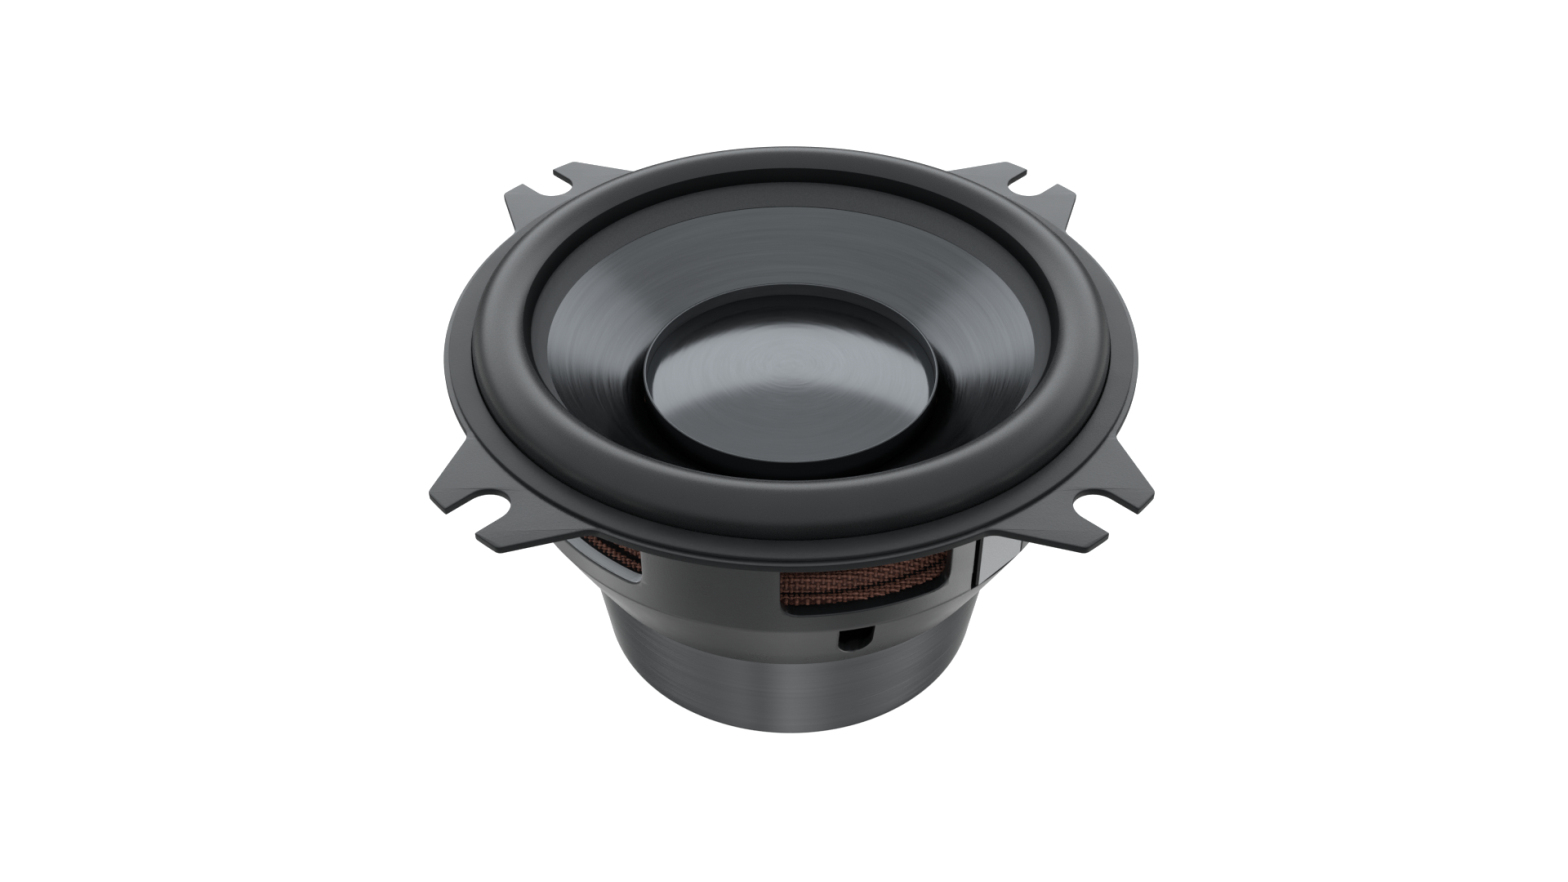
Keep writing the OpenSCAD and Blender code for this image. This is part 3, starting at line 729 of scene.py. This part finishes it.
def wrap_shell(mesh, stations, lengths):
    """Cuts the flat shell into a grid and bends it round the axis onto its stations."""
    bm = bmesh.new()
    bm.from_mesh(mesh)
    bmesh.ops.remove_doubles(bm, verts=bm.verts, dist=1e-5)
    step = TAU * WALL_R / COLUMNS
    for k in range(COLUMNS + 1):
        x = -k * step
        geometry = list(bm.verts) + list(bm.edges) + list(bm.faces)
        at_end = k in (0, COLUMNS)
        bmesh.ops.bisect_plane(
            bm,
            geom=geometry,
            dist=1e-5,
            plane_co=(x, 0, 0),
            plane_no=(1 if k == 0 else -1, 0, 0),
            clear_outer=at_end,
        )
    for s in lengths[1:-1]:
        geometry = list(bm.verts) + list(bm.edges) + list(bm.faces)
        bmesh.ops.bisect_plane(bm, geom=geometry, dist=1e-5, plane_co=(0, -s, 0), plane_no=(0, 1, 0))
    outer = np.array([station[0] for station in stations])
    inner = np.array([station[1] for station in stations])
    cut_end = float(np.interp(-WINDOW_ZONE_Z, -outer[:-1, 1], lengths[:-1]))
    slanted = []
    for edge in bm.edges:
        if len(edge.link_faces) != 2:
            continue
        if min(abs(f.normal.z) for f in edge.link_faces) < 0.999:
            continue
        run = edge.verts[0].co - edge.verts[1].co
        if abs(run.x) > 1e-4 and abs(run.y) > 1e-4:
            slanted.append(edge)
    bmesh.ops.dissolve_edges(bm, edges=slanted, use_verts=True)
    # Window faces away from the front window get the bright painted highlight; the front window's faces
    # keep the coat
    for face in bm.faces:
        middle = face.calc_center_median()
        azimuth = math.degrees(middle.x / WALL_R) + SEAM_AZIMUTH
        painted_highlight_edge = -middle.y < cut_end and not at_front_window(azimuth)
        painted_highlight_edge = painted_highlight_edge and abs((azimuth - WINDOW_AZIMUTH + 30) % 60 - 30) < WINDOW_REACH
        face.material_index = 1 if abs(face.normal.z) < 0.2 and painted_highlight_edge else 0
    for vert in bm.verts:
        x, y, z = vert.co
        t = min(1.0, max(0.0, 0.5 + 0.5 * z / FLAT_HALF_T))
        s = -y
        out_r, out_z = (float(np.interp(s, lengths, outer[:, i])) for i in (0, 1))
        in_r, in_z = (float(np.interp(s, lengths, inner[:, i])) for i in (0, 1))
        r = t * out_r + (1 - t) * in_r
        height = t * out_z + (1 - t) * in_z
        azimuth = math.degrees(x / WALL_R) + SEAM_AZIMUTH
        if SILL_Z - 0.2 < out_z < SILL_Z + 1.2 and not at_front_window(azimuth):
            height += (1 - t) * SILL_DRAFT
        local = (azimuth - WINDOW_AZIMUTH + 30) % 60 - 30
        if height > WINDOW_ZONE_Z:
            azimuth += square_on(local, r) * min(1.0, max(0.0, (22 - abs(local)) / 4))
        elif out_z < CREASE_Z:
            local = azimuth % 120
            azimuth += square_on(local, r) * min(1.0, max(0.0, (30 - local) / 10))
        a = math.radians(azimuth)
        vert.co = (r * math.sin(a) * MM, -r * math.cos(a) * MM, height * MM)
    bmesh.ops.remove_doubles(bm, verts=bm.verts, dist=2e-6)
    bmesh.ops.recalc_face_normals(bm, faces=bm.faces)
    result = bpy.data.meshes.new("basket_shell")
    bm.to_mesh(result)
    bm.free()
    return result


def build_basket():
    """The whole casting: wall and floor, flange plate with its tabs, and the ring's seat."""
    stations = basket_stations()
    outer = np.array([station[0] for station in stations])
    lengths = [0.0] + list(np.cumsum(np.linalg.norm(np.diff(outer, axis=0), axis=1)))
    flat = plate_mesh("basket_flat", shell_loops(stations, lengths), FLAT_HALF_T, FLAT_BEVEL)
    shell = bpy.data.objects.new("shell", wrap_shell(flat, stations, lengths))
    plate_half = (PLATE_HIGH_Z - PLATE_LOW_Z) / 2
    hole = arc((0, 0), RECESS_R, 0, 360, 360)[:-1]
    plate_data = plate_mesh("flange_flat", [flange_outline(), hole], plate_half, 0.2)
    # The plate's side faces get a darker, less glossy coat: painted shade
    for face in plate_data.polygons:
        face.material_index = 2 if abs(face.normal.z) < 0.4 else 0
    for vert in plate_data.vertices:
        vert.co = vert.co * MM + Vector((0, 0, (PLATE_LOW_Z + plate_half) * MM))
    plate = bpy.data.objects.new("plate", plate_data)
    low = PLATE_LOW_Z - 0.01
    seat_z = PLATE_HIGH_Z - 0.4
    seat_r = RECESS_R + 0.7
    corner = 0.4
    step = [(WALL_IN_R, low), (seat_r, low), (seat_r, seat_z), (WALL_IN_R + corner, seat_z)]
    seat = lathe("seat", step + [(WALL_IN_R, seat_z - corner)])
    basket = clean(join("basket_casting", shell, plate, seat), 50)
    basket.modifiers.new("normals", "WEIGHTED_NORMAL").keep_sharp = True
    return basket


basket = build_basket()
basket.data.materials.append(coated("basket_coat", 0.014, 0.3, ior=1.56))
# Bright painted highlight on the side windows' faces
basket.data.materials.append(window_edge_highlight())
# Darker coat on the flange's sides: painted shade
basket.data.materials.append(coated("flange_edge_painted_shade", 0.012, 0.5, ior=1.22))
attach(basket, "frame")
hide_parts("basket")

# ---------------------------------------------------------------- ring, surround, cone and cap

ROLL_R = 4.4
ROLL_MID = (43.87, FRONT_Z + 0.4)
ROLL_T = 0.45
# The glued lip's dull finish fades out between these, and then comes the groove under the roll, whose
# darker rubber is painted shade
LIP_FULL_R = 39.4
LIP_END_R = 39.7
GROOVE_IN_R = 39.5
GROOVE_OUT_R = 40.45
CONE_EDGE = (37.43, FRONT_Z - 2.7)
CONE_ANGLE = math.radians(35.6)
CONE_SLOPE = math.tan(CONE_ANGLE)
RIM_BEND_R = 38.35
RIM_ANGLE = math.radians(59.4)
RIM_SLOPE = math.tan(RIM_ANGLE)
RIM_END_Z = FRONT_Z + 0.25


def cone_z(r):
    """Height of the cone's front face."""
    return CONE_EDGE[1] + (r - CONE_EDGE[0]) * CONE_SLOPE


def rim_z(r):
    """Height of the front face of the cone's steep rim."""
    return cone_z(RIM_BEND_R) + (r - RIM_BEND_R) * RIM_SLOPE


# Where the cone's steep rim ends
RIM_END_R = RIM_BEND_R + (RIM_END_Z - cone_z(RIM_BEND_R)) / RIM_SLOPE


def gasket_ring():
    """Flat ring with rounded edges that holds the surround's outer lip down."""
    inner_r = ROLL_MID[0] + ROLL_R + 0.15
    low = PLATE_HIGH_Z + 0.05
    corners = [(inner_r, low), (GASKET_R, low), (GASKET_R, FRONT_Z), (inner_r, FRONT_Z)]
    return lathe("gasket_ring_coated", soften(corners, 0.2, 5, sharp=(0, 1)), 320, 60)


def surround():
    """Half roll of even thickness, its flat outer lip, and its inner lip on the cone's rim."""
    lip_out_r = RECESS_R - 0.2
    lip_z = PLATE_HIGH_Z - 0.05
    seat_z = PLATE_HIGH_Z - 0.35
    outer_r = ROLL_MID[0] + ROLL_R
    gap = 0.08
    profile = arc(ROLL_MID, ROLL_R, 176, 0, 60)
    profile += arc((outer_r + 0.4, lip_z + 0.4), 0.4, 180, 270, 5)
    profile += [(lip_out_r, lip_z), (lip_out_r, seat_z), (outer_r - ROLL_T, seat_z)]
    profile += arc(ROLL_MID, ROLL_R - ROLL_T, 0, 180, 48)
    profile += [(RIM_END_R - gap, RIM_END_Z), (RIM_BEND_R - gap, cone_z(RIM_BEND_R) + gap)]
    profile += [(CONE_EDGE[0], CONE_EDGE[1] + gap), (CONE_EDGE[0] - 0.05, CONE_EDGE[1] + 0.15)]
    profile += [(CONE_EDGE[0] + 0.05, CONE_EDGE[1] + 0.26)]
    profile += [(CONE_EDGE[0] + 1.0, CONE_EDGE[1] + 1.5), (ROLL_MID[0] - ROLL_R - 0.12, FRONT_Z + 0.05)]
    return lathe("surround_rubber_roll", profile, 320, 42)


def cone():
    """Spun cone with an even wall and a steeper rim."""
    thick = 0.6
    drop = thick / math.cos(CONE_ANGLE)
    rim_drop = thick / math.sin(RIM_ANGLE)
    neck_r = FORMER_R + 0.05
    face = [(r, cone_z(r)) for r in np.linspace(neck_r, RIM_BEND_R, 24)]
    back = [(r, cone_z(r) - drop) for r in np.linspace(RIM_BEND_R, neck_r, 12)]
    profile = face + [(RIM_END_R, RIM_END_Z), (RIM_END_R + rim_drop, RIM_END_Z)]
    profile += [(RIM_BEND_R + 0.75 * rim_drop, rim_z(RIM_BEND_R - 0.25 * rim_drop))] + back[1:]
    return lathe("cone_spun", profile, 320, 30)


def dust_cap():
    """Thin shallow dome with a skirt that is glued inside the former."""
    r = FORMER_R - 0.45
    rise = 2.6
    low = FRONT_Z - 10.8
    thick = 0.4
    ball = (r * r + rise * rise) / (2 * rise)
    middle = low + rise - ball
    top = [(x, middle + math.sqrt(ball**2 - x * x)) for x in np.linspace(0, r, 48)]
    under = [(x, middle + math.sqrt((ball - thick) ** 2 - x * x)) for x in np.linspace(r - thick, 0, 24)]
    profile = top + [(r, low - 3), (r - thick, low - 3)] + under
    return lathe("dust_cap_dome", profile, 256, 30)


def coil_former():
    """Thin tube with softened ends."""
    inner_r = FORMER_R - 0.4
    low, high = FORMER_LOW_Z, FORMER_TOP_Z
    corners = [(inner_r, low), (FORMER_R, low), (FORMER_R, high), (inner_r, high)]
    return lathe("coil_former_tube", soften(corners, 0.12, 4), 256, 60)


def voice_coil():
    """Round wire in one layer that shows, over a flat inner face."""
    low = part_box("voice_coil")[0].z / MM
    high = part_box("voice_coil")[1].z / MM
    outer_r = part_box("voice_coil")[1].x / MM
    inner_r = FORMER_R + 0.05
    turns = 40
    pitch = (high - low) / turns
    profile = [(inner_r, low)]
    for k in range(turns):
        bead = arc((outer_r - pitch / 2, low + (k + 0.5) * pitch), pitch / 2, -80, 80, 4)
        profile += bead
    profile.append((inner_r, high))
    return lathe("voice_coil_winding", profile, 192, 40)


def motor_cup():
    """Tapered cup with a rounded rear edge, chamfers in front and a bore for the magnet."""
    rear_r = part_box("motor_cup")[1].x / MM - (70 - 63.8) / 2
    bore_r = 24.5
    magnet_z = 6.0
    edge = 0.9
    corner = [
        (rear_r - edge, 0.0),
        (rear_r - 0.62 * edge, 0.06 * edge),
        (rear_r - 0.3 * edge, 0.28 * edge),
        (rear_r - 0.08 * edge, 0.6 * edge),
        (rear_r + 0.02, edge),
    ]
    chamfer = 0.25
    rise = CUP_TOP_Z - chamfer - edge
    side = [(rear_r + (CUP_FRONT_R - rear_r) * t, edge + rise * t) for t in np.linspace(0.1, 1, 8)]
    rim = [(CUP_FRONT_R - chamfer, CUP_TOP_Z), (bore_r + chamfer, CUP_TOP_Z)]
    profile = [(0, 0)] + corner + side + rim
    profile += [(bore_r, CUP_TOP_Z - chamfer), (bore_r, magnet_z), (0, magnet_z)]
    return lathe("motor_cup_machined", profile, 320, 40)


ring = gasket_ring()
ring.data.materials.append(coated("ring_coat", 0.016, 0.4, grain_depth_mm=0.016, ior=1.42))
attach(ring, "frame")
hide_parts("gasket_ring")

cone_piece = cone()
cone_piece.data.materials.append(turned_metal("cone_spun_skin", 0.105, 0.2, 0.24, 0.0045, 0.4, along=18))
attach(cone_piece, "diaphragm")
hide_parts("cone")

cap = dust_cap()
cap_skin = turned_metal("cap_skin", 0.13, 0.13, 0.24, 0.0028, 0.4, along=20, contrast=0.06)
cap.data.materials.append(cap_skin)
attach(cap, "diaphragm")
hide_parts("dust_cap")

former = coil_former()
former.data.materials.append(turned_metal("former_sheet", 0.045, 0.2, 0.2, 0.0006))
former.data.materials.append(turned_metal("former_bore", 0.14, 0.34, 0.25, 0.001))
for face in former.data.polygons:
    face.material_index = 1 if math.hypot(face.center.x, face.center.y) < (FORMER_R - 0.3) * MM else 0
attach(former, "diaphragm")
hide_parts("coil_former")

coil = voice_coil()
coil.data.materials.append(plain_metal("copper_wire", (0.72, 0.3, 0.14), 0.32))
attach(coil, "diaphragm")
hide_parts("voice_coil")

cup = motor_cup()
cup.data.materials.append(turned_metal("cup_steel", 0.15, 0.24, 0.2, 0.0025, 0.5, along=24))
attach(cup, "frame")
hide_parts("motor_cup")


def bend_by_radius(obj):
    """Bakes a piece's placement into its mesh and reads its points; nothing is blended."""
    obj.data.update()
    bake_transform(obj)
    co = np.zeros(len(obj.data.vertices) * 3, np.float32)
    obj.data.vertices.foreach_get("co", co)
    co = co.reshape(-1, 3)


roll = surround()
roll.data.materials.append(roll_rubber())
# The groove under the roll gets darker, duller rubber: painted shade where the roll's foot is in shadow
roll.data.materials.append(moulded("groove_painted_shade", 0.004, 0.5, ior=1.15))
for face in roll.data.polygons:
    r = math.hypot(face.center.x, face.center.y) / MM
    face.material_index = 1 if GROOVE_IN_R < r < GROOVE_OUT_R else 0
bend_by_radius(roll)
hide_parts("surround")

# ---------------------------------------------------------------- spider

WEAVE_PITCH = 0.76
YARN_HALF_W = 0.29
YARN_HALF_H = 0.13
YARN_LIFT = 0.11
# Inside this radius the cone hides the cloth, and the yarns have half the points
COARSE_R = 31.0
WAVE_IN_R = 26.9
WAVE_PITCH = 4.5
WAVE_COUNT = 3
WAVE_H = 0.5
SPIDER_MID_Z = 40.5
SPIDER_IN_R = FORMER_R + 0.15
SPIDER_RIM_R = 41.7


def wave(r):
    """Height of the corrugated cloth's middle at a radius."""
    inside = (r > WAVE_IN_R) & (r < WAVE_IN_R + WAVE_PITCH * WAVE_COUNT)
    return SPIDER_MID_Z + np.where(inside, WAVE_H * np.sin(TAU * (r - WAVE_IN_R) / WAVE_PITCH), 0.0)


def yarn_run(start, end, offset, row, along_x, out):
    """Points, faces and UVs of one yarn between two places, woven over and under its neighbours."""
    step = WEAVE_PITCH / 4
    first = math.ceil(start / step)
    last = math.floor(end / step)
    t = np.array([start] + [i * step for i in range(first, last + 1)] + [end])
    t = t[np.concatenate([[True], np.diff(t) > 0.02])]
    if len(t) < 3:
        return
    hidden = np.hypot(t, offset) < COARSE_R
    hidden[[0, -1]] = False
    t = t[~(hidden & (np.arange(len(t)) % 2 == 1))]
    fixed = np.full_like(t, offset)
    x, y = (t, fixed) if along_x else (fixed, t)
    r = np.hypot(x, y)
    slope = (wave(r + 0.05) - wave(r - 0.05)) / 0.1
    normal = np.stack([-slope * x / r, -slope * y / r, np.ones_like(r)], axis=1)
    normal /= np.linalg.norm(normal, axis=1)[:, None]
    sign = 1 if along_x else -1
    lift = sign * YARN_LIFT * np.cos(math.pi * t / WEAVE_PITCH + math.pi * row)
    path = np.stack([x, y, wave(r)], axis=1) + normal * lift[:, None]
    tangent = np.gradient(path, axis=0)
    tangent /= np.linalg.norm(tangent, axis=1)[:, None]
    side = np.cross(normal, tangent)
    side /= np.linalg.norm(side, axis=1)[:, None]
    up = np.cross(tangent, side)
    length = np.concatenate([[0], np.cumsum(np.linalg.norm(np.diff(path, axis=0), axis=1))])
    section = [(1, 0), (0, 1), (-1, 0), (0, -1)]
    base = len(out["verts"])
    for i in range(len(t)):
        for a, b in section:
            out["verts"].append(path[i] + side[i] * a * YARN_HALF_W + up[i] * b * YARN_HALF_H)
    sides = len(section)
    shade = out["rng"].random()
    for i in range(len(t) - 1):
        for k in range(sides):
            m = (k + 1) % sides
            low, high = base + i * sides, base + (i + 1) * sides
            out["faces"].append((low + k, low + m, high + m, high + k))
            v = out["count"] + shade
            u0, u1 = length[i], length[i + 1]
            out["uvs"] += [(u0, v), (u0, v), (u1, v), (u1, v)]
    out["count"] += 1


def yarns(name, along_x, seed):
    """All the yarns that run one way, cut off at the neck and the rim."""
    out = {"verts": [], "faces": [], "uvs": [], "count": 0, "rng": np.random.default_rng(seed)}
    rows = int(SPIDER_RIM_R / WEAVE_PITCH) + 1
    for row in range(-rows, rows + 1):
        offset = row * WEAVE_PITCH
        if abs(offset) > SPIDER_RIM_R - 0.8:
            continue
        reach = math.sqrt(SPIDER_RIM_R**2 - offset**2)
        if abs(offset) < SPIDER_IN_R:
            hole = math.sqrt(SPIDER_IN_R**2 - offset**2)
            yarn_run(-reach, -hole, offset, row, along_x, out)
            yarn_run(hole, reach, offset, row, along_x, out)
        else:
            yarn_run(-reach, reach, offset, row, along_x, out)
    obj = new_object(name, out["verts"], out["faces"], out["uvs"])
    obj.data.shade_smooth()
    return obj


def resin_shade_film():
    """Thin stiffening resin that fills the cloth between its yarns, darker than them as painted shade in
    the gaps.
    """
    half = 0.05
    radii = np.linspace(SPIDER_IN_R, SPIDER_RIM_R - 0.1, 90)
    top = [(r, float(wave(r)) + half) for r in radii]
    under = [(r, float(wave(r)) - half) for r in radii[::-1]]
    return lathe("spider_resin_film", top + under, 200, 60)


def spider_bond():
    """Varnished bead that holds the cloth's neck on the former."""
    r = FORMER_R + 0.06
    corners = [(r, SPIDER_MID_Z - 0.3), (r + 0.75, SPIDER_MID_Z - 0.25), (r + 0.6, SPIDER_MID_Z + 0.5)]
    corners += [(r + 0.2, SPIDER_MID_Z + 1.7), (r, SPIDER_MID_Z + 1.8)]
    return lathe("spider_neck_bead", soften(corners, 0.15, 3, sharp=(0, 4)), 192, 60)


cloth = thread("spider_cloth", (0.12, 0.045, 0.032), (0.5, 0.22, 0.15), 1.6, 0.5)
film = resin_shade_film()
# The resin is real; its dark colour between the yarns is painted shade
resin = moulded("spider_resin_gap_shade", 0.02, 0.6, 0.3, 0.03, colour=(0.06, 0.022, 0.016, 1.0))
film.data.materials.append(resin)
for web in (yarns("spider_warp", True, 7), yarns("spider_weft", False, 8), film):
    if not web.data.materials:
        web.data.materials.append(cloth)
    bend_by_radius(web)
    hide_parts("spider")

bead = spider_bond()
varnish = moulded("spider_varnish", 0.05, 0.35, 0.4, 0.02, colour=(0.09, 0.035, 0.018, 1.0))
bead.data.materials.append(varnish)
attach(bead, "diaphragm")

# ---------------------------------------------------------------- leads

POSITIVE_ROUTE = [
    (38, 2, 48.9), (37.9, 2, 48), (37.4, 2.1, 46.9), (36.2, 2.2, 45.8), (34.4, 2.4, 45),
    (32.2, 2.7, 44.6),
    (30, 2.9, 44.4), (28, 3.1, 44.4), (26.4, 3.2, 44.4), (25.1, 3.3, 44.5), (23.8, 3.3, 44.5),
]
NEGATIVE_ROUTE = [
    (38, -3, 48.9), (37.9, -3, 48), (37.4, -3, 46.9), (36.2, -3, 45.8), (34.4, -3.1, 45),
    (32.2, -3.1, 44.6),
    (30, -3.2, 44.4), (28, -3.2, 44.4), (26.4, -3.3, 44.4), (25.1, -3.3, 44.5), (23.8, -3.3, 44.5),
]


def smooth_route(points, count):
    """Evenly spaced points on a Catmull-Rom curve through a route."""
    p = np.array([points[0]] + list(points) + [points[-1]], float)
    dense = []
    for i in range(1, len(p) - 2):
        for t in np.linspace(0, 1, 12, endpoint=False):
            a, b, c, d = p[i - 1], p[i], p[i + 1], p[i + 2]
            square = 2 * a - 5 * b + 4 * c - d
            cube = 3 * b - a - 3 * c + d
            dense.append(0.5 * (2 * b + (c - a) * t + square * t**2 + cube * t**3))
    dense.append(p[-2])
    dense = np.array(dense)
    length = np.concatenate([[0], np.cumsum(np.linalg.norm(np.diff(dense, axis=0), axis=1))])
    even = np.linspace(0, length[-1], count)
    return np.stack([np.interp(even, length, dense[:, k]) for k in range(3)], axis=1), even


def braided_lead(name, route):
    """Flexible lead: strands wound both ways round a core, so that they cross as in a braid."""
    path, length = smooth_route(route, 150)
    turn = math.radians(BLOCK_AZIMUTH)
    out_dir = np.array([math.sin(turn), -math.cos(turn), 0])
    side_dir = np.array([-math.cos(turn), -math.sin(turn), 0])
    world = path[:, :1] * out_dir + path[:, 1:2] * side_dir
    world[:, 2] = path[:, 2]
    tangent = np.gradient(world, axis=0)
    tangent /= np.linalg.norm(tangent, axis=1)[:, None]
    side = np.cross(tangent, np.cross(side_dir, tangent))
    side /= np.linalg.norm(side, axis=1)[:, None]
    up = np.cross(tangent, side)
    verts, faces, uvs = [], [], []
    strands = [(way, k) for way in (1, -1) for k in range(6)]
    section = [polar(0.13, 60 * i) for i in range(6)]
    for number, (way, k) in enumerate(strands):
        base = len(verts)
        angle = way * TAU * length / 4.2 + TAU * k / 6
        weave = 0.05 * way * np.cos(6 * angle)
        spread = 0.42 + weave
        radial = side * np.cos(angle)[:, None] + up * np.sin(angle)[:, None]
        around = -side * np.sin(angle)[:, None] + up * np.cos(angle)[:, None]
        middle = world + radial * spread[:, None]
        for i in range(len(world)):
            for a, b in section:
                verts.append(middle[i] + radial[i] * a * 0.8 + around[i] * b * 1.4)
        for i in range(len(world) - 1):
            for j in range(6):
                m = (j + 1) % 6
                low, high = base + i * 6, base + (i + 1) * 6
                faces.append((low + j, low + m, high + m, high + j))
                u0, u1 = length[i], length[i + 1]
                uvs += [(u0, number), (u0, number), (u1, number), (u1, number)]
        faces.append([base + j for j in range(5, -1, -1)])
        faces.append([base + (len(world) - 1) * 6 + j for j in range(6)])
        uvs += [(0, number)] * 12
    obj = new_object(name, verts, faces, uvs)
    obj.data.shade_smooth()
    return obj


lead_finish = thread("lead_braid", (0.3, 0.13, 0.06), (0.85, 0.5, 0.28), 3.0, 0.4)
lead_finish.node_tree.nodes["Principled BSDF"].inputs["Metallic"].default_value = 0.9
for node, route in (("positive_lead", POSITIVE_ROUTE), ("negative_lead", NEGATIVE_ROUTE)):
    lead = braided_lead(node + "_braided", route)
    lead.data.materials.append(lead_finish)
    bend_by_radius(lead)
    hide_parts(node)

# ---------------------------------------------------------------- carried-over CAD nodes

tin = plain_metal("terminal_tin", (0.62, 0.62, 0.6), 0.3)
finishes = {
    "coil_lead_outs": plain_metal("lead_out_copper", (0.7, 0.3, 0.15), 0.35),
    "lead_pads": plain_metal("solder", (0.5, 0.5, 0.49), 0.3, 0.4, 0.02),
    "terminal_solder": plain_metal("solder_joint", (0.5, 0.5, 0.49), 0.28, 0.5, 0.03),
    "magnet": plain_metal("magnet_plating", (0.56, 0.56, 0.55), 0.3),
    "top_plate": turned_metal("pole_steel", 0.42, 0.35, 0.2, 0.004),
    "motor_screws": plain_metal("screw_steel", (0.06, 0.06, 0.062), 0.4),
    "terminal_block": block_painted_light(),
    "positive_terminal": plain_metal("terminal_brass", (0.72, 0.52, 0.24), 0.3),
    "negative_terminal": tin,
}
for node, finish in finishes.items():
    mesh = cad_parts[node].data
    mesh.materials.clear()
    mesh.materials.append(finish)
